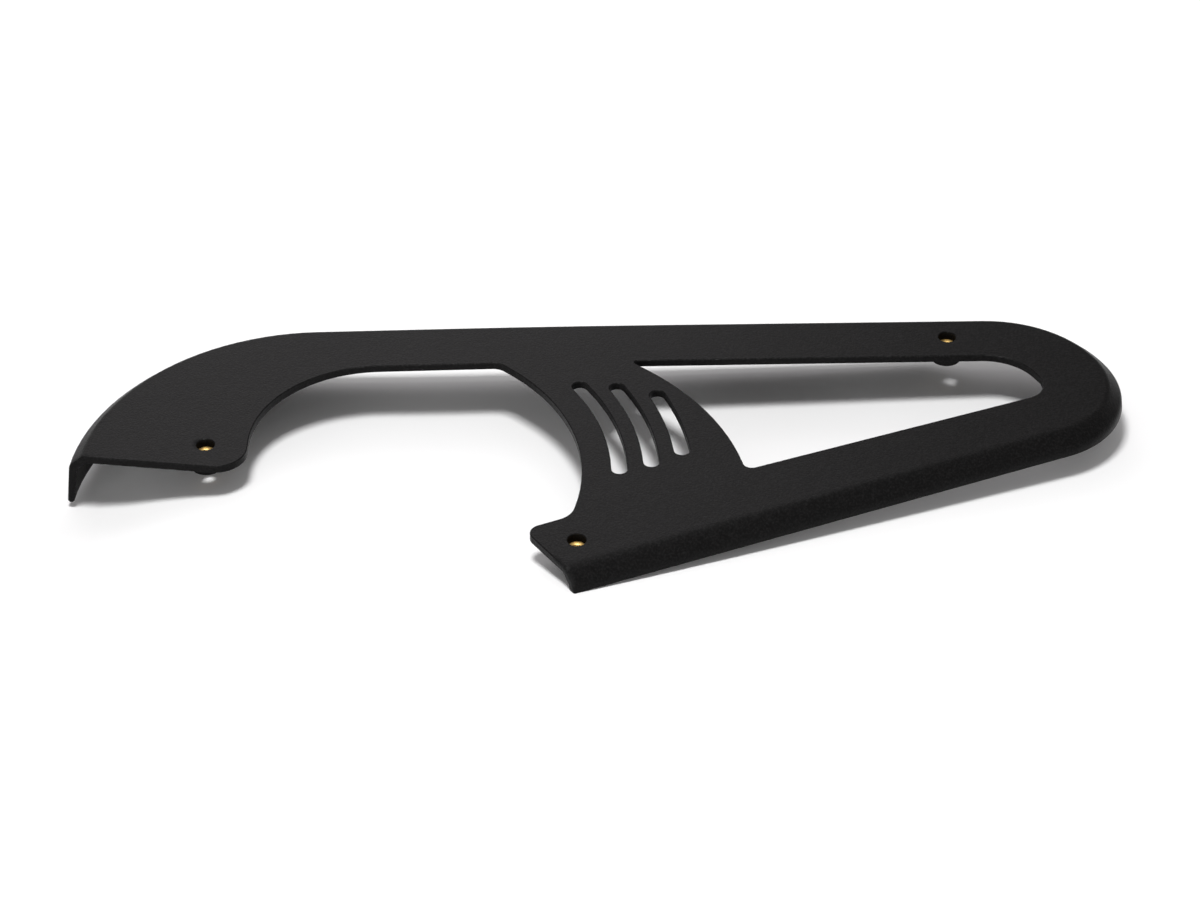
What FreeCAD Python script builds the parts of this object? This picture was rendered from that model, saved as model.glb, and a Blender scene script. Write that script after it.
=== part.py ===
"""Motorcycle chain guard: a moulded cover with a rim, a chainring scallop and a window, and three brass inserts.

Lengths are millimetres. The drawing datum is the centre of the lower mounting hole on the top face: +X runs
towards the rear of the guard, +Y towards its far long edge, and everything hangs below Z 0. Each piece is
then placed so that the guard stands on its rim with the middle of its box over the origin.
"""
import FreeCAD, Part
import math
import os
from dataclasses import dataclass

import Sketcher

SIZES = {
    # Mounting holes, from the lower one
    "front_hole_x": -173.6,
    "front_hole_y": 71.1,
    "rear_hole_x": 179.8,
    "rear_hole_y": 158.7,
    # Section: the plate and the rim that turns down from it
    "shell_thick": 3.7,
    "rim_depth": 27.5,
    "low_rim_depth": 10.3,
    "shoulder_depth": 6.1,
    "shoulder_width": 6.9,
    "draft_angle": 6.8,
    "bend_radius": 3.5,
    "shoulder_radius": 4.0,
    "rim_edge_thick": 3.2,
    "rim_edge_bevel": 1.0,
    "rim_overlap": 14.0,
    # Outer outline, at the foot of the shoulder
    "front_reach": 63.3,
    "front_radius": 113.4,
    "crown_x": -14.8,
    "crown_rise": 15.9,
    "crown_fall": 9.4,
    "crown_radius": 5000.0,
    "tail_far_x": 56.5,
    "tail_far_y": 21.5,
    "tail_far_radius": 61.0,
    "tail_reach": 100.3,
    "tail_straight": 1.5,
    "near_slope": 0.4375,
    "near_drop": 24.8,
    # Front end and chainring scallop
    "front_corner_x": 19.7,
    "front_corner_y": -18.85,
    "front_corner_radius": 14.2,
    "front_edge_run": 135.7,
    "front_edge_rise": 17.0,
    "scallop_front_width": 42.9,
    "scallop_front_straight": 5.8,
    "scallop_rear_width": 37.8,
    "scallop_rear_radius": 8.0,
    "scallop_centre_x": -110.6,
    "scallop_centre_y": 50.4,
    "scallop_radius": 112.6,
    # Lobe round the lower hole
    "lobe_root_angle": -17.0,
    "lobe_root_radius": 12.0,
    "lobe_tip_x": -24.2,
    "lobe_tip_y": 7.8,
    "lobe_tip_radius": 6.0,
    "lobe_cut_run": 131.8,
    "lobe_cut_fall": 191.0,
    # Window between the two arms
    "window_front_x": 24.3,
    "window_front_width": 35.9,
    "window_front_radius": 1.5,
    "window_tail_x": 31.5,
    "window_tail_width": 15.0,
    "window_far_radius": 26.0,
    "window_tip_run": 16.3,
    "window_near_radius": 12.6,
    "arm_width_rear": 39.1,
    "arm_width_front": 42.9,
    "window_foot_x": 77.6,
    "window_foot_radius": 4.0,
    "window_bow_radius": 139.7,
    # Vent slots in the web, concentric with the scallop
    "vent_inset": 17.4,
    "vent_pitch": 15.0,
    "vent_width": 7.5,
    "first_vent_start": 1.0,
    "first_vent_end": 31.0,
    "second_vent_start": 3.0,
    "second_vent_end": 27.0,
    "third_vent_start": 6.0,
    "third_vent_end": 22.0,
    # Bosses, bores and inserts
    "boss_dia": 14.6,
    "boss_depth": 12.5,
    "bore_dia": 8.7,
    "bore_chamfer": 0.3,
    "insert_length": 8.0,
    "insert_bore_dia": 5.0,
    "insert_lead": 0.5,
    # Rim steps and small edges
    "low_rim_start_x": -50.0,
    "low_rim_reach": 14.0,
    "ramp_start": -9.4,
    "ramp_run": 30.0,
    "ramp_radius": 8.0,
    "edge_chamfer": 0.4,
}

CUT_MARGIN = 60.0
FIRST_EXTERNAL = -3
LENGTH_SLACK = 0.01
UPRIGHT_SLACK = 0.01


@dataclass(frozen=True)
class Size:
    """A size known both as a number and as an expression on the spreadsheet."""

    value: float
    text: str

    def _with(self, other, sign, value):
        text = other.text if isinstance(other, Size) else repr(float(other))
        return Size(value, f"({self.text} {sign} {text})")

    def __add__(self, other):
        return self._with(other, "+", self.value + number(other))

    def __sub__(self, other):
        return self._with(other, "-", self.value - number(other))

    def __mul__(self, other):
        return self._with(other, "*", self.value * number(other))

    def __truediv__(self, other):
        return self._with(other, "/", self.value / number(other))

    def __neg__(self):
        return Size(-self.value, f"(-1 * {self.text})")


def number(amount):
    """The plain number behind a size."""
    return amount.value if isinstance(amount, Size) else float(amount)


def size(name):
    """The named size from the spreadsheet."""
    return Size(SIZES[name], f"Sizes.{name}")


def angle_size(name):
    """The named size from the spreadsheet, which holds degrees."""
    return Size(SIZES[name], f"(Sizes.{name} * 1 deg)")


def arc_tangent(slope):
    """Angle in degrees whose tangent is given."""
    return Size(math.degrees(math.atan(slope.value)), f"atan({slope.text})")


def square_root(amount):
    """Square root of a size."""
    return Size(math.sqrt(amount.value), f"sqrt({amount.text})")


def cosine(angle):
    """Cosine of an angle in degrees."""
    return Size(math.cos(math.radians(angle.value)), f"cos({angle.text})")


def sine(angle):
    """Sine of an angle in degrees."""
    return Size(math.sin(math.radians(angle.value)), f"sin({angle.text})")


@dataclass(frozen=True)
class Corner:
    """Where two runs of an outline meet.

    The radius is that of the tangent arc which rounds the meeting of two straight runs. Where the straight is
    given instead, it is the length left between this arc and the next, and the radius follows from it. The bow
    is the radius of the run to the next corner, where that run is an arc that turns to the left.
    """

    x: Size
    y: Size
    radius: Size = None
    straight: Size = None
    bow: Size = None


def write_sheet(doc):
    """Puts every driving dimension in the spreadsheet, under its own name."""
    sheet = doc.addObject("Spreadsheet::Sheet", "Sizes")
    for row, (name, value) in enumerate(SIZES.items(), start=1):
        sheet.set(f"A{row}", name)
        sheet.set(f"B{row}", str(value))
        sheet.setAlias(f"B{row}", name)
    doc.recompute()


def origin_plane(body, role):
    """The body's own origin plane with that role."""
    return next(feature for feature in body.Origin.OriginFeatures if feature.Role == role)


def new_sketch(body, name, role="XY_Plane", level=None):
    """A sketch on one of the body's origin planes, lifted along its normal to a level."""
    sketch = body.newObject("Sketcher::SketchObject", name)
    sketch.AttachmentSupport = [(origin_plane(body, role), "")]
    sketch.MapMode = "FlatFace"
    if level is not None:
        sketch.setExpression("AttachmentOffset.Base.z", level.text)
    return sketch


def bind(sketch, kind, references, target):
    """Adds a dimension to a sketch and ties it to the spreadsheet."""
    index = sketch.addConstraint(Sketcher.Constraint(kind, *references, number(target)))
    if isinstance(target, Size):
        sketch.setExpression(f"Constraints[{index}]", target.text)


def vector(x, y):
    """A point in a sketch."""
    return FreeCAD.Vector(x, y, 0)


def place_of(corner):
    """A corner as a point."""
    return vector(number(corner.x), number(corner.y))


def half_turn(corners, i):
    """Tangent of half the angle between the two runs that meet at a corner."""
    here = place_of(corners[i])
    back = place_of(corners[i - 1]) - here
    ahead = place_of(corners[(i + 1) % len(corners)]) - here
    return math.tan(back.getAngle(ahead) / 2)


def arc_radius(corners, i):
    """Radius that rounds a corner, in numbers, or None where nothing rounds it."""
    corner = corners[i]
    if corner.straight is None:
        return number(corner.radius) if corner.radius else None
    after = (i + 1) % len(corners)
    run = (place_of(corners[after]) - place_of(corner)).Length
    room = run - number(corner.straight) - arc_radius(corners, after) / half_turn(corners, after)
    return room * half_turn(corners, i)


def corner_arc(corners, i):
    """Start, end, centre and radius of the arc that rounds a corner, and whether it turns to the left."""
    radius = arc_radius(corners, i)
    if radius is None:
        return None
    here = place_of(corners[i])
    back = (place_of(corners[i - 1]) - here).normalize()
    ahead = (place_of(corners[(i + 1) % len(corners)]) - here).normalize()
    run = radius / half_turn(corners, i)
    centre = here + (back + ahead).normalize() * math.hypot(radius, run)
    return here + back * run, here + ahead * run, centre, radius, back.cross(ahead).z < 0


def arc_between(start, end, centre, radius):
    """An arc that turns to the left from one point to another."""
    circle = Part.Circle(centre, FreeCAD.Vector(0, 0, 1), radius)
    return Part.ArcOfCircle(circle, circle.parameter(start), circle.parameter(end))


def draw_run(sketch, start, end, bow):
    """Draws the run between two corners: straight, or an arc that turns to the left with the radius of its bow."""
    if bow is None:
        return sketch.addGeometry(Part.LineSegment(start, end), False)
    half = (end - start) / 2
    rise = math.sqrt(bow.value ** 2 - half.Length ** 2)
    centre = start + half + vector(-half.y, half.x).normalize() * rise
    run = sketch.addGeometry(arc_between(start, end, centre, bow.value), False)
    bind(sketch, "Radius", (run,), bow)
    return run


def draw_chain(sketch, corners, closed=True):
    """Draws the runs between corners and the tangent arcs that round them, and binds what sizes the arcs.

    Gives the numbers of the runs; an open chain starts and ends at corners that are not rounded.
    """
    count = len(corners)
    arcs = [corner_arc(corners, i) for i in range(count)]
    plain = [place_of(corner) for corner in corners]
    leave = [arc[1] if arc else point for arc, point in zip(arcs, plain)]
    reach = [arc[0] if arc else point for arc, point in zip(arcs, plain)]
    runs = [draw_run(sketch, leave[i], reach[(i + 1) % count], corners[i].bow)
            for i in range(count if closed else count - 1)]
    for i, corner in enumerate(corners):
        before = runs[i - 1]
        after = runs[i % len(runs)]
        if arcs[i]:
            start, end, centre, radius, left = arcs[i]
            first, last = (start, end) if left else (end, start)
            turn = sketch.addGeometry(arc_between(first, last, centre, radius), False)
            sketch.addConstraint(Sketcher.Constraint("Tangent", before, 2, turn, 1 if left else 2))
            sketch.addConstraint(Sketcher.Constraint("Tangent", after, 1, turn, 2 if left else 1))
            if corner.straight:
                bind(sketch, "Distance", (after,), corner.straight)
            else:
                bind(sketch, "Radius", (turn,), corner.radius)
        elif closed or 0 < i < count - 1:
            sketch.addConstraint(Sketcher.Constraint("Coincident", before, 2, after, 1))
    return runs


def draw_outline(sketch, corners, closed=True):
    """Draws a chain and places each of its corners with two dimensions.

    A rounded corner is a construction point kept where its two runs would meet.
    """
    runs = draw_chain(sketch, corners, closed)
    for i, corner in enumerate(corners):
        if corner.radius or corner.straight:
            mark = sketch.addGeometry(Part.Point(place_of(corner)), True)
            sketch.addConstraint(Sketcher.Constraint("PointOnObject", mark, 1, runs[i - 1]))
            sketch.addConstraint(Sketcher.Constraint("PointOnObject", mark, 1, runs[i]))
            spot = (mark, 1)
        else:
            spot = (runs[i], 1) if i < len(runs) else (runs[-1], 2)
        bind(sketch, "DistanceX", spot, corner.x)
        bind(sketch, "DistanceY", spot, corner.y)


def inset_corner(before, corner, after, inset):
    """The corner of a left-turning outline moved inwards, in numbers, with what sizes its arc still bound."""
    here = place_of(corner)
    back = (here - place_of(before)).normalize()
    ahead = (place_of(after) - here).normalize()
    inward = vector(-back.y, back.x) + vector(-ahead.y, ahead.x)
    place = here + inward * (2 * inset.value / inward.dot(inward))
    return Corner(place.x, place.y, corner.radius - inset if corner.radius else None, corner.straight)


def inset_end(end, beside, inset):
    """The open end of an outline moved inwards, square to its run, in numbers."""
    here = place_of(end)
    ahead = (place_of(beside) - here).normalize()
    place = here + vector(-ahead.y, ahead.x) * inset.value
    return Corner(place.x, place.y)


def draw_inset(sketch, path, corners, inset):
    """Draws the outline that runs inside an open path at one distance, and closes it with a straight run."""
    count = len(corners)
    inner = [inset_corner(corners[max(i - 1, 0)], corners[i], corners[min(i + 1, count - 1)], inset)
             for i in range(1, count - 1)]
    first = inset_end(corners[0], corners[1], inset)
    last = inset_end(corners[-1], corners[-2], -inset)
    runs = draw_chain(sketch, [first, *inner, last])
    for i, edge in enumerate(path.Shape.Edges, start=1):
        if isinstance(edge.Curve, Part.Line):
            sketch.addExternal(path.Name, f"Edge{i}")
    for i, run in enumerate(runs[:-1]):
        sketch.addConstraint(Sketcher.Constraint("Parallel", run, FIRST_EXTERNAL - i))
        bind(sketch, "Distance", (run, 1, FIRST_EXTERNAL - i), inset)
    bind(sketch, "DistanceX", (runs[0], 1), corners[0].x)
    bind(sketch, "DistanceY", (runs[-1], 1), corners[-1].y)


def draw_circle(sketch, x, y, diameter):
    """Draws a dimensioned circle."""
    circle = Part.Circle(vector(number(x), number(y)), FreeCAD.Vector(0, 0, 1), number(diameter) / 2)
    index = sketch.addGeometry(circle, False)
    bind(sketch, "DistanceX", (index, 3), x)
    bind(sketch, "DistanceY", (index, 3), y)
    bind(sketch, "Diameter", (index,), diameter)


def lies_at(item, level):
    """Whether a whole edge or face lies at one height."""
    box = item.BoundBox
    return abs(box.ZMin - level) < LENGTH_SLACK and abs(box.ZMax - level) < LENGTH_SLACK


def is_circle(edge, diameter):
    """Whether an edge is a full circle of a diameter."""
    if not edge.isClosed() or not isinstance(edge.Curve, Part.Circle):
        return False
    return abs(edge.Curve.Radius * 2 - diameter) < LENGTH_SLACK


def on_cut_wall(shape, edge):
    """Whether one of the two faces at an edge stands upright there."""
    middle = edge.valueAt((edge.FirstParameter + edge.LastParameter) / 2)
    for face in shape.ancestorsOfType(edge, Part.Face):
        u, v = face.Surface.parameter(middle)
        if abs(face.normalAt(u, v).z) < UPRIGHT_SLACK:
            return True
    return False


def chamfer_cuts(body, name, reach, diameter=None):
    """Chamfers the top edges of upright walls, or only the full circles there of one diameter."""
    base = body.Tip
    shape = base.Shape
    edges = [f"Edge{i}" for i, edge in enumerate(shape.Edges, start=1)
             if lies_at(edge, 0.0) and on_cut_wall(shape, edge) and (diameter is None or is_circle(edge, diameter))]
    chamfer = body.newObject("PartDesign::Chamfer", name)
    chamfer.Base = (base, edges)
    chamfer.setExpression("Size", reach.text)
    body.Document.recompute()
    return chamfer


def stands_on(edge, corner):
    """Whether an edge stands upright over a corner of an outline."""
    foot = place_of(corner)
    return all(math.hypot(v.X - foot.x, v.Y - foot.y) < LENGTH_SLACK for v in edge.Vertexes)


def round_corner(body, name, corner, radius):
    """Rounds the upright edge that a cut left over one of its corners."""
    base = body.Tip
    edges = [f"Edge{i}" for i, edge in enumerate(base.Shape.Edges, start=1) if stands_on(edge, corner)]
    if len(edges) != 1:
        raise RuntimeError(f"{name} found {len(edges)} edges")
    fillet = body.newObject("PartDesign::Fillet", name)
    fillet.Base = (base, edges)
    fillet.setExpression("Radius", radius.text)
    body.Document.recompute()
    return fillet


def sweep(body, name, section, path):
    """Sweeps a section along every edge of a path."""
    feature = body.newObject("PartDesign::AdditivePipe", name)
    feature.Profile = section
    feature.Spine = (path, [f"Edge{i}" for i in range(1, len(path.Shape.Edges) + 1)])
    body.Document.recompute()
    return feature


def pad(body, name, sketch, length, down=False, taper=None):
    """Pads a sketch by a length, with an optional taper."""
    feature = body.newObject("PartDesign::Pad", name)
    feature.Profile = sketch
    feature.Reversed = down
    feature.setExpression("Length", length.text)
    if taper is not None:
        feature.setExpression("TaperAngle", taper.text)
    body.Document.recompute()
    return feature


def pocket(body, name, sketch):
    """Cuts a sketch through everything behind its plane, and checks that it removed something."""
    before = body.Tip.Shape.Volume
    feature = body.newObject("PartDesign::Pocket", name)
    feature.Profile = sketch
    feature.Type = "ThroughAll"
    body.Document.recompute()
    if body.Tip.Shape.Volume >= before:
        raise RuntimeError(f"{name} cuts nothing")
    return feature


def near_line(x):
    """Y of the near long edge of the outline at X."""
    return x * size("near_slope") - size("near_drop")


def crown_y():
    """Y of the highest point of the far edge, at the foot of the shoulder."""
    return size("rear_hole_y") + size("crown_rise")


def outline_corners():
    """The outer outline at the foot of the shoulder, from below the lobe round to below the front end."""
    left = size("front_hole_x") - size("front_reach")
    right = size("rear_hole_x") + size("tail_reach")
    near_x = size("low_rim_start_x")
    return [
        Corner(near_x, near_line(near_x)),
        Corner(right, near_line(right), straight=size("tail_straight")),
        Corner(size("rear_hole_x") + size("tail_far_x"), size("rear_hole_y") + size("tail_far_y"),
               size("tail_far_radius")),
        Corner(size("crown_x"), crown_y(), size("crown_radius")),
        Corner(left, crown_y() - size("crown_fall"), size("front_radius")),
        Corner(left, size("front_hole_y") - CUT_MARGIN),
    ]


def section_corners():
    """The section of plate edge, shoulder and rim, with X outwards and the foot of the shoulder over X 0.

    The rim leans out by the draft angle. Plate and shoulder are equally thick, and the rim thins to its
    bevelled edge.
    """
    thick = size("shell_thick")
    slope = size("shoulder_width") / size("shoulder_depth")
    lean = arc_tangent(slope)
    draft = angle_size("draft_angle")
    half_sum = (lean + draft) / 2
    half_gap = (lean - draft) / 2
    foot_in = thick * cosine(half_sum) / cosine(half_gap)
    foot_down = size("shoulder_depth") + thick * sine(half_sum) / cosine(half_gap)
    flare = (size("rim_depth") - size("shoulder_depth")) * sine(draft) / cosine(draft)
    bevel = size("rim_edge_bevel")
    inside = flare - size("rim_edge_thick")
    level = Size(0.0, "0")
    low = -size("rim_depth")
    return [
        Corner(-size("rim_overlap"), level),
        Corner(-size("rim_overlap"), -thick),
        Corner(-foot_in - (foot_down - thick) * slope, -thick),
        Corner(-foot_in, -foot_down),
        Corner(inside, low + bevel),
        Corner(inside + bevel, low),
        Corner(flare - bevel, low),
        Corner(flare, low + bevel),
        Corner(level, -size("shoulder_depth"), size("shoulder_radius")),
        Corner(-size("shoulder_width"), level, size("bend_radius")),
    ]


def scallop_rear_corner():
    """Where the lower edge of the far bar meets the rear arc of the scallop."""
    y = crown_y() - size("scallop_rear_width")
    rise = y - size("scallop_centre_y")
    run = square_root(size("scallop_radius") * size("scallop_radius") - rise * rise)
    return Corner(size("scallop_centre_x") + run, y)


def lobe_root_corner():
    """Where the side of the lobe meets the rear arc of the scallop, from which the arc runs up."""
    angle = angle_size("lobe_root_angle")
    radius = size("scallop_radius")
    x = size("scallop_centre_x") + radius * cosine(angle)
    y = size("scallop_centre_y") + radius * sine(angle)
    return Corner(x, y, bow=radius)


def scallop_corners():
    """What is cut from the blank in front: the straight front edge, the scallop and the side of the lobe."""
    corner_x = size("front_hole_x") + size("front_corner_x")
    corner_y = size("front_hole_y") + size("front_corner_y")
    outside_x = corner_x - size("front_edge_run")
    foot_x = size("lobe_tip_x") + size("lobe_cut_run")
    foot_y = size("lobe_tip_y") - size("lobe_cut_fall")
    return [
        Corner(outside_x, corner_y + size("front_edge_rise")),
        Corner(outside_x, foot_y),
        Corner(foot_x, foot_y),
        Corner(size("lobe_tip_x"), size("lobe_tip_y"), size("lobe_tip_radius")),
        lobe_root_corner(),
        scallop_rear_corner(),
        Corner(corner_x, crown_y() - size("scallop_front_width"), straight=size("scallop_front_straight")),
        Corner(corner_x, corner_y, size("front_corner_radius")),
    ]


def window_foot_corner():
    """Where the window's bowed front side meets the near arm, from which the bow runs up."""
    x = size("window_foot_x")
    return Corner(x, near_line(x) + size("arm_width_front"), bow=size("window_bow_radius"))


def window_front_corner():
    """Where the window's bowed front side meets the far bar."""
    return Corner(size("window_front_x"), crown_y() - size("window_front_width"))


def window_corners():
    """The window between the far bar and the near arm."""
    tail_x = size("rear_hole_x") + size("window_tail_x")
    tip_x = tail_x + size("window_tip_run")
    return [
        window_foot_corner(),
        window_front_corner(),
        Corner(tail_x, size("rear_hole_y") - size("window_tail_width"), size("window_far_radius")),
        Corner(tip_x, near_line(tip_x) + size("arm_width_rear"), size("window_near_radius")),
    ]


def low_rim_corners():
    """The strip of the near rim that is cut shallower than the rest, from the lobe to past the ramp."""
    front_x = size("low_rim_start_x")
    rear_x = size("rear_hole_x") + CUT_MARGIN
    return [
        Corner(front_x, near_line(front_x) - size("low_rim_reach")),
        Corner(rear_x, near_line(rear_x) - size("low_rim_reach")),
        Corner(rear_x, near_line(rear_x) + size("low_rim_reach")),
        Corner(front_x, near_line(front_x) + size("low_rim_reach")),
    ]


def ramp_corners():
    """What is cut from the rim at the rear end, seen from the side: it rises along a ramp to the shallow depth."""
    start_x = size("rear_hole_x") + size("ramp_start")
    rear_x = size("rear_hole_x") + size("tail_reach") + CUT_MARGIN
    low = -size("rim_depth") - CUT_MARGIN
    return [
        Corner(start_x, low),
        Corner(rear_x, low),
        Corner(rear_x, -size("low_rim_depth")),
        Corner(start_x + size("ramp_run"), -size("low_rim_depth"), size("ramp_radius")),
        Corner(start_x, -size("rim_depth")),
    ]


def hole_centres():
    """Centres of the three mounting holes by name."""
    return {
        "front": (size("front_hole_x"), size("front_hole_y")),
        "lower": (Size(0.0, "0"), Size(0.0, "0")),
        "rear": (size("rear_hole_x"), size("rear_hole_y")),
    }


def draw_vent(sketch, radius, first, last):
    """Draws one curved slot of the web: two concentric arcs joined by round ends."""
    centre_x = size("scallop_centre_x")
    centre_y = size("scallop_centre_y")
    half = size("vent_width") / 2
    axis = FreeCAD.Vector(0, 0, 1)
    centre = vector(centre_x.value, centre_y.value)
    ends = [math.radians(first.value), math.radians(last.value)]
    sides = []
    for reach in (radius - half, radius + half):
        side = sketch.addGeometry(Part.ArcOfCircle(Part.Circle(centre, axis, reach.value), *ends), False)
        bind(sketch, "Radius", (side,), reach)
        bind(sketch, "DistanceX", (side, 3), centre_x)
        bind(sketch, "DistanceY", (side, 3), centre_y)
        sides.append(side)
    for place, angle, turned in ((1, first, math.pi), (2, last, 0.0)):
        middle_x = centre_x + radius * cosine(angle)
        middle_y = centre_y + radius * sine(angle)
        start = ends[place - 1] + turned
        circle = Part.Circle(vector(middle_x.value, middle_y.value), axis, half.value)
        cap = sketch.addGeometry(Part.ArcOfCircle(circle, start, start + math.pi), False)
        inner, outer = (2, 1) if place == 2 else (1, 2)
        sketch.addConstraint(Sketcher.Constraint("Tangent", sides[0], place, cap, inner))
        sketch.addConstraint(Sketcher.Constraint("Tangent", sides[1], place, cap, outer))
        bind(sketch, "DistanceY", (cap, 3), middle_y)


def make_moulding(doc):
    """The one-piece cover: plate, shoulder and rim, opened by the scallop, the window, the vents and the bores."""
    body = doc.addObject("PartDesign::Body", "guard_moulding")

    path = new_sketch(body, "outline")
    draw_outline(path, outline_corners(), closed=False)
    body.Document.recompute()
    section = body.newObject("Sketcher::SketchObject", "rim_section")
    section.AttachmentSupport = [(path, "Edge1"), (path, "Vertex1")]
    section.MapMode = "NormalToEdge"
    draw_outline(section, section_corners())
    body.Document.recompute()
    sweep(body, "rim", section, path)
    plate = new_sketch(body, "plate")
    draw_inset(plate, path, outline_corners(), (size("shoulder_width") + size("rim_overlap")) / 2)
    pad(body, "plate_pad", plate, size("shell_thick"), down=True)

    near = new_sketch(body, "low_rim", level=-size("low_rim_depth"))
    draw_outline(near, low_rim_corners())
    pocket(body, "low_rim_cut", near)
    ramp = new_sketch(body, "rim_ramp", role="XZ_Plane", level=Size(CUT_MARGIN, str(CUT_MARGIN)))
    draw_outline(ramp, ramp_corners())
    pocket(body, "rim_ramp_cut", ramp)

    bosses = new_sketch(body, "bosses", level=-size("shell_thick"))
    for x, y in hole_centres().values():
        draw_circle(bosses, x, y, size("boss_dia"))
    pad(body, "boss_pads", bosses, size("boss_depth") - size("shell_thick"), down=True)

    window = new_sketch(body, "window")
    draw_outline(window, window_corners())
    pocket(body, "window_cut", window)
    round_corner(body, "window_foot_round", window_foot_corner(), size("window_foot_radius"))
    round_corner(body, "window_front_round", window_front_corner(), size("window_front_radius"))
    vents = new_sketch(body, "vents")
    for row, name in enumerate(("first", "second", "third")):
        radius = size("scallop_radius") + size("vent_inset") + size("vent_pitch") * row
        draw_vent(vents, radius, size(name + "_vent_start"), size(name + "_vent_end"))
    pocket(body, "vent_cuts", vents)
    scallop = new_sketch(body, "scallop")
    draw_outline(scallop, scallop_corners())
    pocket(body, "scallop_cut", scallop)
    round_corner(body, "scallop_rear_round", scallop_rear_corner(), size("scallop_rear_radius"))
    round_corner(body, "lobe_root_round", lobe_root_corner(), size("lobe_root_radius"))
    chamfer_cuts(body, "cut_edge_chamfer", size("edge_chamfer"))
    bores = new_sketch(body, "bores")
    for x, y in hole_centres().values():
        draw_circle(bores, x, y, size("bore_dia"))
    pocket(body, "bore_cuts", bores)
    chamfer_cuts(body, "bore_edge_chamfer", size("bore_chamfer"), SIZES["bore_dia"])
    return body


def insert_corners():
    """Half section of an insert on its axis, standing on the end of its boss."""
    bore = size("insert_bore_dia") / 2
    outer = size("bore_dia") / 2
    lead = size("insert_lead")
    length = size("insert_length")
    foot = Size(0.0, "0")
    return [
        Corner(bore + lead, foot),
        Corner(outer, foot),
        Corner(outer, length - lead),
        Corner(outer - lead, length),
        Corner(bore + lead, length),
        Corner(bore, length - lead),
        Corner(bore, lead),
    ]


def make_insert(doc, name):
    """A turned insert, before it is put in its boss."""
    body = doc.addObject("PartDesign::Body", name)
    section = new_sketch(body, name + "_section", role="XZ_Plane")
    draw_outline(section, insert_corners())
    turned = body.newObject("PartDesign::Revolution", name + "_turned")
    turned.Profile = section
    turned.ReferenceAxis = (section, ["V_Axis"])
    turned.Angle = 360.0
    doc.recompute()
    return body


def check(doc, pieces):
    """Stops if anything in the document failed or a piece is not one sound solid."""
    for item in doc.Objects:
        if "Invalid" in item.State or "Error" in item.State:
            raise RuntimeError(f"{item.Name} failed")
    for piece in pieces:
        if piece.Shape.isNull() or not piece.Shape.isValid() or len(piece.Shape.Solids) != 1:
            raise RuntimeError(f"{piece.Label} is not one sound solid")


def build():
    """Builds the document, puts each piece in its place and writes it to its file."""
    doc = FreeCAD.newDocument("chain_guard")
    write_sheet(doc)
    moulding = make_moulding(doc)
    box = moulding.Shape.optimalBoundingBox(False, False)
    stand = FreeCAD.Vector(-box.Center.x, -box.Center.y, -box.ZMin)
    moulding.Placement = FreeCAD.Placement(stand, FreeCAD.Rotation())
    pieces = [moulding]
    for name, (x, y) in hole_centres().items():
        insert = make_insert(doc, "brass_insert_" + name)
        seat = FreeCAD.Vector(x.value, y.value, -SIZES["boss_depth"])
        insert.Placement = FreeCAD.Placement(stand + seat, FreeCAD.Rotation())
        pieces.append(insert)
    doc.recompute()
    check(doc, pieces)
    os.makedirs("parts", exist_ok=True)
    for piece in pieces:
        piece.Shape.exportStep(os.path.join("parts", piece.Label + ".step"))


build()
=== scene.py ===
"""Looks of the moulded chain guard: its plastic, its threaded inserts and the studio they lie in."""

import logging
import math
from dataclasses import dataclass
from typing import Any

import bpy
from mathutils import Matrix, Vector


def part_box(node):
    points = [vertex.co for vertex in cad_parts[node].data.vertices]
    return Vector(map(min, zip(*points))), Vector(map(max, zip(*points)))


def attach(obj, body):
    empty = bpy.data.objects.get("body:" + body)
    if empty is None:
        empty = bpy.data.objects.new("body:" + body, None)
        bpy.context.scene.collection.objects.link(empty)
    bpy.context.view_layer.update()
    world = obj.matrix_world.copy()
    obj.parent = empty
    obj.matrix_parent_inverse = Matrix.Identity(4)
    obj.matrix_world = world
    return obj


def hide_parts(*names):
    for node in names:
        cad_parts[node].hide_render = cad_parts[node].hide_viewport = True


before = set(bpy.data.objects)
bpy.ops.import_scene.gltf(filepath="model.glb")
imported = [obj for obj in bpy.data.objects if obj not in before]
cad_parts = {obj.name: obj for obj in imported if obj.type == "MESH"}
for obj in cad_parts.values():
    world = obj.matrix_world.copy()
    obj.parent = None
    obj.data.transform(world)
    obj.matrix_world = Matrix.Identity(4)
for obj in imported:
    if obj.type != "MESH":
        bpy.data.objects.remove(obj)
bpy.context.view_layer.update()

MM = 0.001
SIDE_ANGLE = 40.0
BEVEL_SAMPLES = 4
NOISE_LOW = 0.35
NOISE_HIGH = 0.65
GUARD_MIDDLE = (0.0, 0.0, 0.0)
WHITE = (1.0, 1.0, 1.0)
BACK_TINT = (1.0, 0.965, 0.985)

log = logging.getLogger("chain_guard")


# Helpers for modelling


def deselect_all() -> None:
    """Leaves nothing selected, so that the next operator acts on its own object only."""
    bpy.ops.object.select_all(action="DESELECT")


def take(obj: bpy.types.Object) -> None:
    """Makes one object the active and only selected one.

    Args:
        obj: the object to work on.
    """
    deselect_all()
    obj.select_set(True)
    bpy.context.view_layer.objects.active = obj


def apply_modifiers(obj: bpy.types.Object) -> None:
    """Applies every modifier of an object, in order.

    Args:
        obj: the object that has them.
    """
    take(obj)
    for modifier in list(obj.modifiers):
        bpy.ops.object.modifier_apply(modifier=modifier.name)


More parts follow.
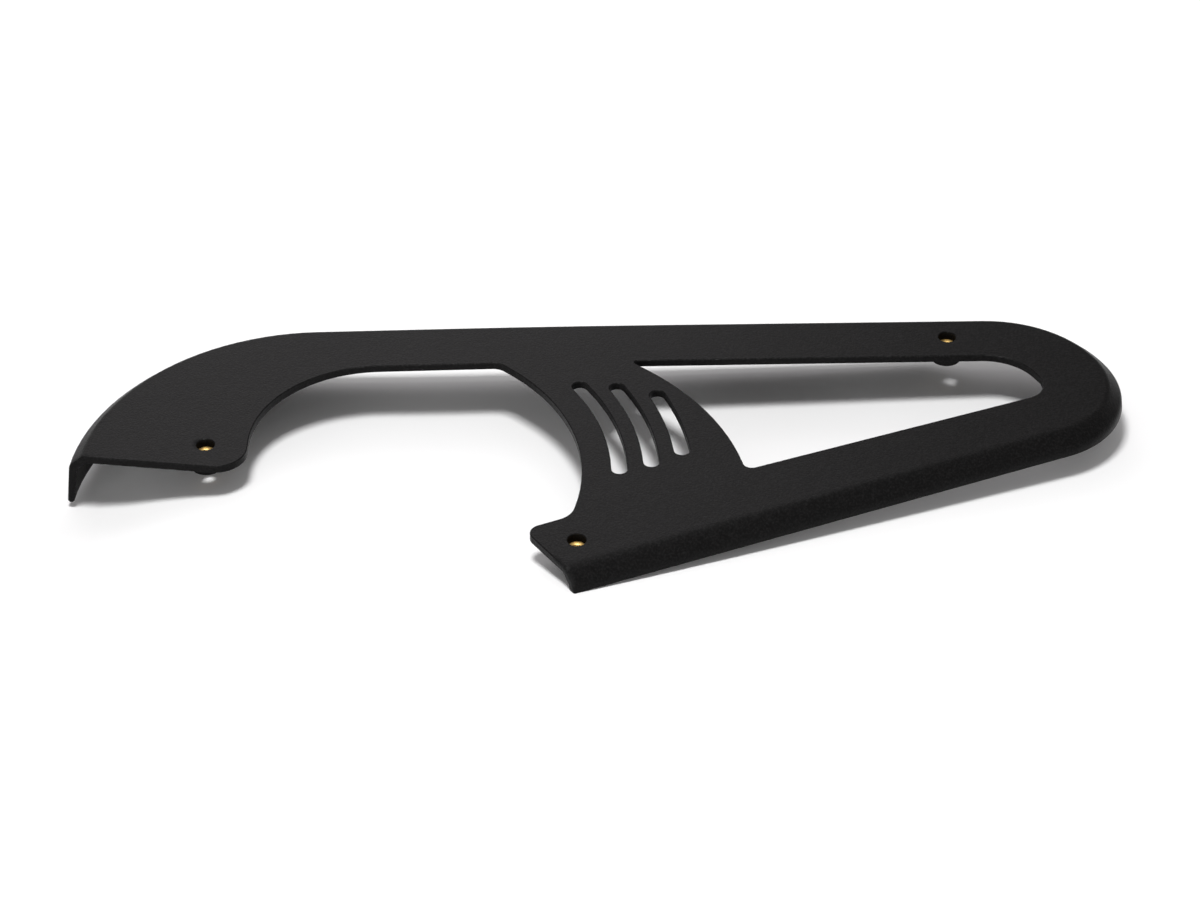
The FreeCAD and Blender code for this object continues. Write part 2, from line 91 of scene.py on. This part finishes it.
def settle(obj: bpy.types.Object, name: str, finish: bpy.types.Material) -> None:
    """Puts an object's place into its mesh and gives it its name and finish.

    Args:
        obj: the object, shaped and in its place.
        name: the piece's name.
        finish: the material that it gets.
    """
    take(obj)
    bpy.ops.object.transform_apply(location=True, rotation=True, scale=True)
    bpy.ops.object.shade_smooth_by_angle(angle=math.radians(SIDE_ANGLE))
    obj.name = name
    obj.data.name = name
    obj.data.materials.clear()
    obj.data.materials.append(finish)


# Node tools


class Shader:
    """A node tree that is filled by short calls."""

    def __init__(self, tree: bpy.types.NodeTree) -> None:
        """Takes the tree to fill."""
        self.tree = tree

    def node(self, kind: str, **inputs: Any) -> bpy.types.Node:
        """Adds a node.

        Args:
            kind: the node's type.
            inputs: socket names (spaces as underscores) with a value or the socket that feeds them.

        Returns:
            The node.
        """
        made = self.tree.nodes.new(kind)
        for name, value in inputs.items():
            self.feed(made.inputs[name.replace("_", " ")], value)
        return made

    def feed(self, socket: bpy.types.NodeSocket, value: Any) -> None:
        """Sets a socket to a value, or links it to the socket given.

        Args:
            socket: the socket to fill.
            value: a plain value, or the socket that feeds it.
        """
        if isinstance(value, bpy.types.NodeSocket):
            self.tree.links.new(value, socket)
        else:
            socket.default_value = value

    def maths(self, operation: str, *values: Any) -> bpy.types.NodeSocket:
        """Adds a math node.

        Args:
            operation: what it works out.
            values: its numbers, or the sockets that feed them, in order.

        Returns:
            Its result.
        """
        made = self.tree.nodes.new("ShaderNodeMath")
        made.operation = operation
        for socket, value in zip(made.inputs, values):
            self.feed(socket, value)
        return made.outputs[0]

    def spread(
        self, value: Any, low: float, high: float, to_low: float, to_high: float
    ) -> bpy.types.NodeSocket:
        """Maps a range of values onto another, held at its ends.

        Args:
            value: the value to map, or the socket that feeds it.
            low: where the range starts.
            high: where it ends.
            to_low: what its start becomes.
            to_high: what its end becomes.

        Returns:
            The result.
        """
        made = self.tree.nodes.new("ShaderNodeMapRange")
        names = ("Value", "From Min", "From Max", "To Min", "To Max")
        for name, given in zip(names, (value, low, high, to_low, to_high)):
            self.feed(made.inputs[name], given)
        return made.outputs["Result"]

    def mix(self, factor: Any, first: Any, second: Any) -> bpy.types.NodeSocket:
        """Mixes two colours.

        Args:
            factor: how much of the second, from 0 to 1.
            first: the first colour, or the socket that feeds it.
            second: the second.

        Returns:
            The mixed colour.
        """
        made = self.tree.nodes.new("ShaderNodeMix")
        made.data_type = "RGBA"
        colours = [socket for socket in made.inputs if socket.type == "RGBA"]
        self.feed(made.inputs[0], factor)
        self.feed(colours[0], first)
        self.feed(colours[1], second)
        return next(socket for socket in made.outputs if socket.type == "RGBA")

    def blend(self, factor: Any, first: Any, second: Any) -> bpy.types.NodeSocket:
        """Mixes two vectors.

        Args:
            factor: how much of the second, from 0 to 1.
            first: the first vector, or the socket that feeds it.
            second: the second.

        Returns:
            The mixed vector.
        """
        made = self.tree.nodes.new("ShaderNodeMix")
        made.data_type = "VECTOR"
        vectors = [socket for socket in made.inputs if socket.type == "VECTOR" and socket.enabled]
        self.feed(made.inputs[0], factor)
        self.feed(vectors[0], first)
        self.feed(vectors[1], second)
        return next(socket for socket in made.outputs if socket.type == "VECTOR")

    def place(self) -> bpy.types.NodeSocket:
        """Returns the place on the piece, in metres."""
        return self.tree.nodes.new("ShaderNodeTexCoord").outputs["Object"]

    def noise(self, size: float, detail: float) -> bpy.types.NodeSocket:
        """Adds noise of a real size.

        Args:
            size: the size of one blotch, in metres.
            detail: how many finer layers it has.

        Returns:
            Its value, about 0.5 on average.
        """
        made = self.node("ShaderNodeTexNoise", Scale=1.0 / size, Detail=detail)
        self.feed(made.inputs["Vector"], self.place())
        return made.outputs["Fac"]


def new_group(name: str, inputs: dict[str, float], outputs: tuple[str, ...]) -> bpy.types.NodeTree:
    """Makes an empty node group.

    Args:
        name: the group's name.
        inputs: its inputs, all plain numbers, with their defaults.
        outputs: its outputs, all plain numbers.

    Returns:
        The group, with its input and output nodes.
    """
    group = bpy.data.node_groups.new(name, "ShaderNodeTree")
    for title, default in inputs.items():
        socket = group.interface.new_socket(title, in_out="INPUT", socket_type="NodeSocketFloat")
        socket.default_value = default
    for title in outputs:
        group.interface.new_socket(title, in_out="OUTPUT", socket_type="NodeSocketFloat")
    group.nodes.new("NodeGroupInput")
    group.nodes.new("NodeGroupOutput")
    return group


def new_material(name: str) -> tuple[bpy.types.Material, Shader, bpy.types.Node]:
    """Makes a material with a plain Principled shader.

    Args:
        name: the material's name.

    Returns:
        The material, its node tree as a Shader, and the Principled node.
    """
    material = bpy.data.materials.new(name)
    material.use_nodes = True
    principled = material.node_tree.nodes["Principled BSDF"]
    return material, Shader(material.node_tree), principled


# Shared effects


@dataclass
class Effects:
    """The node groups that several finishes share."""

    grain_size: float = 0.5 * MM
    grain_waves: float = 0.3
    fine_detail: float = 3.0
    fine_roughness: float = 0.6
    broad_detail: float = 1.0
    broad_scale: float = 0.12
    speckle_low: float = 0.44
    speckle_high: float = 0.74
    edge_reach: float = 0.9 * MM
    edge_start: float = 0.97
    edge_full: float = 0.75
    patch_size: float = 9.0 * MM
    patch_detail: float = 3.0
    patch_least: float = 0.35
    hollow_reach: float = 12.0 * MM
    hollow_full: float = 0.35
    hollow_start: float = 0.75
    hollow_samples: int = 8

    def surface(self) -> bpy.types.NodeTree:
        """Builds the fine surface relief: a height and a speckle mask.

        Returns:
            The group. Its inputs are the grain's size and the strength of its broad waves, and its
            outputs a height and a speckle.
        """
        settings = {"Size": self.grain_size, "Waves": self.grain_waves}
        group = new_group("surface_grain", settings, ("Height", "Speckle"))
        net = Shader(group)
        source = group.nodes["Group Input"]
        target = group.nodes["Group Output"]
        place = net.place()
        scale = net.maths("DIVIDE", 1.0, source.outputs["Size"])
        fine = net.node("ShaderNodeTexNoise", Vector=place, Scale=scale, Detail=self.fine_detail)
        fine.inputs["Roughness"].default_value = self.fine_roughness
        broad = net.node("ShaderNodeTexNoise", Vector=place, Detail=self.broad_detail)
        net.feed(broad.inputs["Scale"], net.maths("MULTIPLY", scale, self.broad_scale))
        waves = net.maths("MULTIPLY", broad.outputs["Fac"], source.outputs["Waves"])
        net.feed(target.inputs["Height"], net.maths("ADD", fine.outputs["Fac"], waves))
        speckle = net.spread(fine.outputs["Fac"], self.speckle_low, self.speckle_high, 0.0, 1.0)
        net.feed(target.inputs["Speckle"], speckle)
        return group

    def edges(self) -> bpy.types.NodeTree:
        """Builds the edge mask, from how far a rounded normal leaves the true one: a painted highlight along
        the plastic's edges, and worn edges on the brass.

        Returns:
            The group. Its inputs are the reach and strength, and its output a mask.
        """
        group = new_group("edge_wear_and_highlight", {"Reach": self.edge_reach, "Strength": 1.0}, ("Mask",))
        net = Shader(group)
        source = group.nodes["Group Input"]
        rounded = net.node("ShaderNodeBevel", Radius=source.outputs["Reach"])
        rounded.samples = BEVEL_SAMPLES
        true = net.tree.nodes.new("ShaderNodeNewGeometry")
        dot = net.tree.nodes.new("ShaderNodeVectorMath")
        dot.operation = "DOT_PRODUCT"
        net.feed(dot.inputs[0], rounded.outputs["Normal"])
        net.feed(dot.inputs[1], true.outputs["Normal"])
        away = net.spread(dot.outputs["Value"], self.edge_start, self.edge_full, 0.0, 1.0)
        noise = net.noise(self.patch_size, self.patch_detail)
        patches = net.spread(noise, NOISE_LOW, NOISE_HIGH, self.patch_least, 1.0)
        mask = net.maths("MULTIPLY", net.maths("MULTIPLY", away, patches), source.outputs["Strength"])
        net.feed(group.nodes["Group Output"].inputs["Mask"], mask)
        return group

    def hollows(self) -> bpy.types.NodeTree:
        """Builds the mask of deep, narrow places, where light does not reach.

        Returns:
            The group. Its input is the reach, and its output a mask.
        """
        group = new_group("hollow_shade", {"Reach": self.hollow_reach}, ("Mask",))
        net = Shader(group)
        opening = net.node("ShaderNodeAmbientOcclusion", Distance=group.nodes["Group Input"].outputs["Reach"])
        opening.samples = self.hollow_samples
        opening.only_local = True
        mask = net.spread(opening.outputs["AO"], self.hollow_full, self.hollow_start, 1.0, 0.0)
        net.feed(group.nodes["Group Output"].inputs["Mask"], mask)
        return group


def use_group(net: Shader, group: bpy.types.NodeTree, **values: float) -> bpy.types.Node:
    """Places a shared effect in a material.

    Args:
        net: the material's nodes.
        group: the effect.
        values: its inputs that differ from their defaults.

    Returns:
        The group's node.
    """
    made = net.tree.nodes.new("ShaderNodeGroup")
    made.node_tree = group
    for name, value in values.items():
        net.feed(made.inputs[name], value)
    return made


# Finishes


@dataclass(frozen=True)
class BlackPlastic:
    """Matt black moulded plastic with a fine spark-eroded grain, a painted highlight along its edges and
    painted shade in its hollows.
    """

    colour: tuple[float, float, float, float] = (0.0026, 0.0025, 0.0025, 1.0)
    pale: tuple[float, float, float, float] = (0.0135, 0.0130, 0.0132, 1.0)
    # Painted highlight: the paler colour laid along the edges.
    edge_highlight: tuple[float, float, float, float] = (0.022, 0.022, 0.023, 1.0)
    # Painted shade: the near-black colour laid in deep, narrow hollows.
    deep: tuple[float, float, float, float] = (0.0006, 0.0006, 0.0006, 1.0)
    grain: float = 0.9 * MM
    waves: float = 0.4
    relief: float = 0.25 * MM
    bump: float = 0.7
    rub_and_highlight: float = 0.6
    cloud_size: float = 60.0 * MM
    cloud_detail: float = 3.0
    cloud: float = 0.04
    speckle: float = 0.8
    roughness: float = 0.33
    rough_low: float = -0.04
    rough_high: float = 0.05
    rough_edges: float = -0.12
    rough_deep: float = 0.5
    specular: float = 0.135
    soft_reach: float = 4.0 * MM
    near_slope: float = 0.4275
    near_crease: float = -87.6 * MM
    front_crease: float = -190.0 * MM
    front_end: float = -14.0 * MM
    crease_room: float = 8.0 * MM

    def soft_normal(self, net: Shader) -> bpy.types.NodeSocket:
        """Rounds the creases of the shoulder, along the near side and round the front end.

        Args:
            net: the material's nodes.

        Returns:
            The surface normal, rounded near those creases and true elsewhere.
        """
        place = net.node("ShaderNodeSeparateXYZ", Vector=net.place())
        level = net.maths("MULTIPLY_ADD", place.outputs["X"], -self.near_slope, place.outputs["Y"])
        room = self.crease_room
        near = net.spread(level, self.near_crease + room / 2, self.near_crease + room, 1.0, 0.0)
        front = net.spread(place.outputs["X"], self.front_crease, self.front_crease + room, 1.0, 0.0)
        behind = net.spread(place.outputs["Y"], self.front_end - room / 4, self.front_end, 0.0, 1.0)
        front = net.maths("MULTIPLY", front, behind)
        rounded = net.node("ShaderNodeBevel", Radius=self.soft_reach)
        rounded.samples = BEVEL_SAMPLES
        true = net.tree.nodes.new("ShaderNodeNewGeometry")
        return net.blend(net.maths("MAXIMUM", near, front), true.outputs["Normal"], rounded.outputs["Normal"])

    def build(
        self, grain: bpy.types.NodeTree, edges: bpy.types.NodeTree, hollows: bpy.types.NodeTree
    ) -> bpy.types.Material:
        """Makes the material.

        Args:
            grain: the shared surface relief.
            edges: the shared edge mask, where a painted highlight is laid.
            hollows: the shared mask of deep, narrow places, where shade is painted.

        Returns:
            The material.
        """
        material, net, shader = new_material("black_plastic")
        relief = use_group(net, grain, Size=self.grain, Waves=self.waves)
        rub_and_highlight = use_group(net, edges, Strength=self.rub_and_highlight)
        noise = net.noise(self.cloud_size, self.cloud_detail)
        clouds = net.spread(noise, NOISE_LOW, NOISE_HIGH, 0.0, self.cloud)
        speckled = net.maths("MULTIPLY", relief.outputs["Speckle"], self.speckle)
        tone = net.maths("ADD", clouds, speckled)
        base = net.mix(tone, self.colour, self.pale)
        # Painted highlight: the colour turns paler along the edges, where a rounded edge would catch the
        # light.
        highlighted = net.mix(rub_and_highlight.outputs["Mask"], base, self.edge_highlight)
        # Painted shade: in deep, narrow hollows, such as the holes' walls, the colour goes near black.
        painted_shade = use_group(net, hollows).outputs["Mask"]
        net.feed(shader.inputs["Base Color"], net.mix(painted_shade, highlighted, self.deep))
        least, most = self.roughness + self.rough_low, self.roughness + self.rough_high
        dull = net.spread(relief.outputs["Speckle"], 0.0, 1.0, least, most)
        edge_gloss = net.maths("MULTIPLY", rub_and_highlight.outputs["Mask"], self.rough_edges)
        rough = net.maths("ADD", dull, edge_gloss)
        matt = net.maths("MULTIPLY", painted_shade, self.rough_deep)
        net.feed(shader.inputs["Roughness"], net.maths("ADD", rough, matt))
        shader.inputs["Specular IOR Level"].default_value = self.specular
        bump = net.node("ShaderNodeBump", Strength=self.bump, Distance=self.relief)
        net.feed(bump.inputs["Height"], relief.outputs["Height"])
        net.feed(bump.inputs["Normal"], self.soft_normal(net))
        net.feed(shader.inputs["Normal"], bump.outputs["Normal"])
        return material


@dataclass(frozen=True)
class TurnedBrass:
    """Turned brass with a fine grain and a little tarnish."""

    colour: tuple[float, float, float, float] = (0.78, 0.53, 0.19, 1.0)
    dull: tuple[float, float, float, float] = (0.46, 0.28, 0.09, 1.0)
    grain: float = 0.3 * MM
    waves: float = 1.0
    relief: float = 0.02 * MM
    bump: float = 0.4
    rub_and_highlight: float = 0.8
    rub_reach: float = 0.2 * MM
    stain_size: float = 1.6 * MM
    stain_detail: float = 4.0
    stain_low: float = 0.42
    stain_high: float = 0.68
    stain: float = 0.8
    roughness: float = 0.38
    rough_stained: float = 0.2

    def build(self, grain: bpy.types.NodeTree, edges: bpy.types.NodeTree) -> bpy.types.Material:
        """Makes the material.

        Args:
            grain: the shared surface relief.
            edges: the shared edge mask, where the tarnish wears off.

        Returns:
            The material.
        """
        material, net, shader = new_material("turned_brass")
        relief = use_group(net, grain, Size=self.grain, Waves=self.waves)
        rub_and_highlight = use_group(net, edges, Reach=self.rub_reach, Strength=self.rub_and_highlight)
        noise = net.noise(self.stain_size, self.stain_detail)
        stains = net.spread(noise, self.stain_low, self.stain_high, 0.0, self.stain)
        aged = net.mix(stains, self.colour, self.dull)
        net.feed(shader.inputs["Base Color"], net.mix(rub_and_highlight.outputs["Mask"], aged, self.colour))
        roughest = self.roughness + self.rough_stained
        rough = net.spread(stains, 0.0, self.stain, self.roughness, roughest)
        net.feed(shader.inputs["Roughness"], rough)
        shader.inputs["Metallic"].default_value = 1.0
        bump = net.node("ShaderNodeBump", Strength=self.bump, Distance=self.relief)
        net.feed(bump.inputs["Height"], relief.outputs["Height"])
        net.feed(shader.inputs["Normal"], bump.outputs["Normal"])
        return material


# The guard


@dataclass
class Moulding:
    """The one-piece moulding, which the CAD solid shows."""

    node: str = "guard_moulding"

    def dress(self, finish: bpy.types.Material) -> None:
        """Gives the solid its plastic.

        Args:
            finish: the plastic.
        """
        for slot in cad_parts[self.node].material_slots:
            slot.material = finish
        log.info("%s dressed", self.node)


@dataclass
class Inserts:
    """The threaded brass inserts at the bottom of the three holes."""

    nodes: tuple[str, ...] = ("brass_insert_front", "brass_insert_lower", "brass_insert_rear")
    bore_radius: float = 2.5 * MM
    root_radius: float = 3.0 * MM
    pitch: float = 1.0 * MM
    crest: float = 0.12
    lead: float = 0.55 * MM
    lead_slope: float = 0.5
    steps: int = 40
    sides: int = 80
    spare_turns: int = 2
    weld: float = 0.001 * MM

    def thread(self, low: float, high: float) -> bpy.types.Object:
        """Builds the helical ridge that cuts the thread, from below one end to above the other.

        Args:
            low: the height of the insert's lower face.
            high: the height of its upper face.

        Returns:
            The closed ridge, round the Z axis.
        """
        turns = math.ceil((high - low) / self.pitch) + self.spare_turns
        deep = self.root_radius - self.bore_radius
        deselect_all()
        bpy.ops.mesh.primitive_circle_add(vertices=4, radius=self.pitch / 2, fill_type="NOTHING")
        ridge = bpy.context.object
        narrow = self.crest * self.pitch
        inside = self.bore_radius - deep
        half = self.pitch * (0.5 - self.crest / 2)
        corners = (
            (self.root_radius, narrow / 2),
            (self.root_radius, -narrow / 2),
            (inside, -half),
            (inside, half),
        )
        for vertex, (radius, height) in zip(ridge.data.vertices, corners):
            vertex.co = Vector((radius, 0.0, height + low - self.pitch))
        screw = ridge.modifiers.new("screw", "SCREW")
        screw.axis = "Z"
        screw.angle = math.tau
        screw.screw_offset = self.pitch
        screw.iterations = turns
        screw.steps = self.steps
        screw.render_steps = self.steps
        apply_modifiers(ridge)
        bpy.ops.object.mode_set(mode="EDIT")
        bpy.ops.mesh.select_all(action="SELECT")
        bpy.ops.mesh.remove_doubles(threshold=self.weld)
        bpy.ops.mesh.select_all(action="SELECT")
        bpy.ops.mesh.fill_holes(sides=4)
        bpy.ops.mesh.select_all(action="SELECT")
        bpy.ops.mesh.normals_make_consistent(inside=False)
        bpy.ops.object.mode_set(mode="OBJECT")
        return ridge

    def cut(self, body: bpy.types.Object, tool: bpy.types.Object) -> None:
        """Takes one closed shape out of another and removes the tool.

        Args:
            body: the shape that is cut.
            tool: the shape that is taken out of it.
        """
        boolean = body.modifiers.new("cut", "BOOLEAN")
        boolean.operation = "DIFFERENCE"
        boolean.solver = "EXACT"
        boolean.object = tool
        apply_modifiers(body)
        bpy.data.objects.remove(tool)

    def model(self, low: float, high: float, radius: float) -> bpy.types.Object:
        """Turns one insert: a collar with a bore, leads at both ends and a thread.

        Args:
            low: the height of its lower face.
            high: the height of its upper face.
            radius: its outer radius.

        Returns:
            The insert, round the Z axis.
        """
        middle = (low + high) / 2
        deselect_all()
        bpy.ops.mesh.primitive_cylinder_add(
            vertices=self.sides,
            radius=radius,
            depth=high - low,
            location=(0, 0, middle),
            end_fill_type="NGON",
        )
        body = bpy.context.object
        bpy.ops.object.transform_apply(location=True)
        deselect_all()
        bpy.ops.mesh.primitive_cylinder_add(
            vertices=self.sides, radius=self.bore_radius, depth=2 * (high - low), location=(0, 0, middle)
        )
        bore = bpy.context.object
        self.cut(body, bore)
        deep = (self.root_radius + self.lead) * self.lead_slope
        for height, turned in ((high, 0.0), (low, math.pi)):
            deselect_all()
            bpy.ops.mesh.primitive_cone_add(
                vertices=self.sides,
                radius1=0.0,
                radius2=2 * deep / self.lead_slope,
                depth=2 * deep,
                location=(0, 0, height),
                rotation=(turned, 0, 0),
            )
            cone = bpy.context.object
            bpy.ops.object.transform_apply(location=True, rotation=True)
            self.cut(body, cone)
        self.cut(body, self.thread(low, high))
        return body

    def build(self, finish: bpy.types.Material) -> None:
        """Makes the three inserts from one and lets them stand for the CAD solids.

        Args:
            finish: the brass.
        """
        low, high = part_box(self.nodes[0])
        radius = (high.x - low.x) / 2
        first = self.model(low.z, high.z, radius)
        for node in self.nodes:
            least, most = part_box(node)
            take(first)
            bpy.ops.object.duplicate()
            piece = bpy.context.object
            piece.location = ((least.x + most.x) / 2, (least.y + most.y) / 2, 0.0)
            settle(piece, node.replace("brass_insert", "threaded_insert"), finish)
            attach(piece, "root")
            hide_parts(node)
            log.info("%s built with %d faces", piece.name, len(piece.data.polygons))
        bpy.data.objects.remove(first)


# The studio


@dataclass
class Floor:
    """The white sheet that the guard lies on: sloping, gently bowed, and wavy under the front end.

    The gap is measured down from the plate's top at the middle of the guard. Each slope and bow is the height
    that it adds at one reach from there. Past flat_from the bows fade, and from flat_at on it is a plane.
    """

    middle: tuple[float, float] = (-0.5 * MM, -11.0 * MM)
    plate_top: float = 27.5 * MM
    gap: float = 26.4 * MM
    reach_x: float = 250.0 * MM
    reach_y: float = 100.0 * MM
    slope_x: float = 0.8 * MM
    slope_y: float = -11.3 * MM
    bow_x: float = 6.8 * MM
    twist: float = 3.4 * MM
    bow_y: float = 2.3 * MM
    skew_x: float = -3.9 * MM
    wave_lift: float = 4.0 * MM
    wave_lift_x: float = -160.0 * MM
    wave_lift_width: float = 30.0 * MM
    wave_dip: float = -15.0 * MM
    wave_dip_x: float = -245.0 * MM
    wave_dip_width: float = 40.0 * MM
    wave_y: float = -10.0 * MM
    wave_depth: float = 60.0 * MM
    rim_lift: float = 3.7 * MM
    rim_lift_x: float = 25.0 * MM
    rim_lift_reach: float = 208.0 * MM
    rim_start: tuple[float, float] = (-4.5 * MM, -81.9 * MM)
    rim_slope: float = 0.503
    rim_width: float = 60.0 * MM
    rim_least: float = -1.0
    flat_from: float = 0.30
    flat_at: float = 0.46
    half_size: float = 4.0
    near_half: float = 0.5
    cells: int = 140
    crowding: int = 5
    colour: tuple[float, float, float, float] = (0.95, 0.95, 0.95, 1.0)
    bounce: tuple[float, float, float, float] = (0.5, 0.5, 0.5, 1.0)
    mottle_colour: tuple[float, float, float, float] = (0.9, 0.9, 0.9, 1.0)
    mottle_size: float = 0.4
    mottle_detail: float = 2.0
    mottle_low: float = 0.3
    mottle_high: float = 0.7
    mottle_clear: float = 0.98
    roughness: float = 0.9

    def wave(self, x: float, y: float, centre: float, width: float) -> float:
        """Returns the strength of one soft wave at a place."""
        return math.exp(-(((x - centre) / width) ** 2) - ((y - self.wave_y) / self.wave_depth) ** 2)

    def swell(self, x: float, y: float) -> float:
        """Finds how far the sheet swells up under the near rim.

        Args:
            x: the place along the guard, from the middle.
            y: the place across it.

        Returns:
            The added height.
        """
        along = 1.0 - ((x - self.rim_lift_x) / self.rim_lift_reach) ** 2
        across = y - self.rim_start[1] - self.rim_slope * (x - self.rim_start[0])
        across /= math.hypot(1.0, self.rim_slope)
        return self.rim_lift * max(along, self.rim_least) * math.exp(-((across / self.rim_width) ** 2))

    def height(self, x: float, y: float) -> float:
        """Finds the sheet's height at a place.

        Args:
            x: the place along the row's X axis.
            y: the place along its Y axis.

        Returns:
            The height.
        """
        x -= self.middle[0]
        y -= self.middle[1]
        u, v = x / self.reach_x, y / self.reach_y
        plane = self.plate_top - self.gap + self.slope_x * u + self.slope_y * v
        bow = self.bow_x * u**2 + self.twist * u * v + self.bow_y * v**2 + self.skew_x * u**3
        bow += self.wave_lift * self.wave(x, y, self.wave_lift_x, self.wave_lift_width)
        bow += self.wave_dip * self.wave(x, y, self.wave_dip_x, self.wave_dip_width)
        bow += self.swell(x, y)
        away = (max(abs(x), abs(y)) - self.flat_from) / (self.flat_at - self.flat_from)
        away = min(max(away, 0.0), 1.0)
        return plane + bow * (1.0 - away * away * (3.0 - 2.0 * away))

    def spread(self, part: float) -> float:
        """Returns where a line of the grid runs: close together near the guard and wide apart outside."""
        return self.near_half * part + (self.half_size - self.near_half) * part**self.crowding

    def material(self) -> bpy.types.Material:
        """Makes the floor's finish: plain white from above, and clear from below.

        Returns:
            The material.
        """
        material, net, shader = new_material("white_floor")
        noise = net.noise(self.mottle_size, self.mottle_detail)
        mottle = net.spread(noise, self.mottle_low, self.mottle_high, self.mottle_clear, 1.0)
        seen = net.tree.nodes.new("ShaderNodeLightPath").outputs["Is Camera Ray"]
        shade = net.mix(seen, self.bounce, self.colour)
        net.feed(shader.inputs["Base Color"], net.mix(mottle, self.mottle_colour, shade))
        shader.inputs["Roughness"].default_value = self.roughness
        shader.inputs["Specular IOR Level"].default_value = 0.0
        clear = net.tree.nodes.new("ShaderNodeBsdfTransparent")
        under = net.tree.nodes.new("ShaderNodeNewGeometry").outputs["Backfacing"]
        pick = net.tree.nodes.new("ShaderNodeMixShader")
        net.feed(pick.inputs[0], under)
        net.feed(pick.inputs[1], shader.outputs["BSDF"])
        net.feed(pick.inputs[2], clear.outputs["BSDF"])
        net.feed(net.tree.nodes["Material Output"].inputs["Surface"], pick.outputs["Shader"])
        return material

    def build(self) -> None:
        """Lays the sheet under the guard: a grid from -1 to 1 both ways, spread and lifted."""
        deselect_all()
        bpy.ops.mesh.primitive_grid_add(x_subdivisions=self.cells, y_subdivisions=self.cells, size=2.0)
        floor = bpy.context.object
        for vertex in floor.data.vertices:
            x, y = self.spread(vertex.co.x), self.spread(vertex.co.y)
            vertex.co = Vector((x, y, self.height(x, y)))
        settle(floor, "floor", self.material())
        log.info("%s laid", floor.name)


@dataclass
class SoftBox:
    """One soft lamp."""

    name: str
    place: tuple[float, float, float]
    width: float
    height: float
    power: float
    aim: tuple[float, float, float] = GUARD_MIDDLE
    colour: tuple[float, float, float] = WHITE

    def build(self) -> None:
        """Hangs the lamp and turns it to its aim."""
        direction = Vector(self.aim) - Vector(self.place)
        bpy.ops.object.light_add(
            type="AREA", location=self.place, rotation=direction.to_track_quat("-Z", "Y").to_euler()
        )
        lamp = bpy.context.object
        lamp.name = self.name
        lamp.data.shape = "RECTANGLE"
        lamp.data.size = self.width
        lamp.data.size_y = self.height
        lamp.data.energy = self.power
        lamp.data.color = self.colour
        log.info("lamp %s", self.name)


@dataclass
class Studio:
    """The lamps, and a room that is dim round the guard and white for the camera.

    The backdrop lamp faces away from the guard, towards the sheet behind it.
    """

    fill: float = 0.27
    tint: tuple[float, float, float, float] = (1.0, 0.98, 0.985, 1.0)
    lamps: tuple[SoftBox, ...] = (
        SoftBox(
            "key",
            place=(-0.176, -0.261, 1.778),
            width=0.42,
            height=0.42,
            power=25.7,
        ),
        SoftBox(
            "back_middle",
            place=(-0.18, 1.36, 1.00),
            width=1.08,
            height=0.85,
            power=1.7,
            colour=BACK_TINT,
        ),
        SoftBox(
            "back_wide",
            place=(-0.62, 1.32, 0.85),
            width=1.60,
            height=1.30,
            power=3.1,
            aim=(-0.05, 0.0, 0.0),
            colour=BACK_TINT,
        ),
        SoftBox(
            "front_low",
            place=(-0.65, -1.52, 0.41),
            width=1.37,
            height=0.46,
            power=15.0,
        ),
        SoftBox(
            "front_right",
            place=(0.71, -1.23, 0.78),
            width=0.90,
            height=0.70,
            power=0.8,
        ),
        SoftBox(
            "backdrop",
            place=(0.05, 0.30, 0.50),
            width=1.80,
            height=0.20,
            power=5.0,
            aim=(0.05, 1.20, 0.06),
        ),
    )

    def room(self) -> None:
        """Makes the world: a soft fill for the guard, and white behind it for the camera."""
        world = bpy.data.worlds.new("room")
        world.use_nodes = True
        bpy.context.scene.world = world
        net = Shader(world.node_tree)
        world.node_tree.nodes.clear()
        path = net.tree.nodes.new("ShaderNodeLightPath")
        soft = net.node("ShaderNodeBackground", Color=self.tint, Strength=self.fill)
        white = net.node("ShaderNodeBackground", Color=(1.0, 1.0, 1.0, 1.0), Strength=1.0)
        pick = net.tree.nodes.new("ShaderNodeMixShader")
        net.feed(pick.inputs[0], path.outputs["Is Camera Ray"])
        net.feed(pick.inputs[1], soft.outputs["Background"])
        net.feed(pick.inputs[2], white.outputs["Background"])
        out = net.tree.nodes.new("ShaderNodeOutputWorld")
        net.feed(out.inputs["Surface"], pick.outputs["Shader"])

    def build(self) -> None:
        """Sets up the room and hangs the lamps."""
        self.room()
        for lamp in self.lamps:
            lamp.build()
        bpy.context.scene.view_settings.view_transform = "Standard"


@dataclass
class Camera:
    """The camera, looking along the row's Y axis and down."""

    aim: tuple[float, float, float] = (-0.498 * MM, -11.034 * MM, 27.5 * MM)
    elevation: float = 37.0
    distance: float = 1488.4 * MM
    lens: float = 96.0
    sensor: float = 36.0
    clip_start: float = 0.1
    clip_end: float = 20.0

    def build(self) -> None:
        """Adds the camera and makes it the scene's."""
        lift = math.radians(self.elevation)
        back = Vector((0.0, -math.cos(lift), math.sin(lift)))
        place = Vector(self.aim) + back * self.distance
        bpy.ops.object.camera_add(location=place, rotation=(math.pi / 2 - lift, 0.0, 0.0))
        camera = bpy.context.object
        camera.name = "camera"
        camera.data.lens = self.lens
        camera.data.sensor_width = self.sensor
        camera.data.clip_start = self.clip_start
        camera.data.clip_end = self.clip_end
        bpy.context.scene.camera = camera
        log.info("camera %.3f m away", self.distance)


def main() -> None:
    """Builds the guard's looks, then the studio."""
    logging.basicConfig(level=logging.INFO, format="%(name)s: %(message)s")
    effects = Effects()
    grain = effects.surface()
    edges = effects.edges()
    Moulding().dress(BlackPlastic().build(grain, edges, effects.hollows()))
    Inserts().build(TurnedBrass().build(grain, edges))
    Floor().build()
    Studio().build()
    Camera().build()


if __name__ == "__main__":
    main()
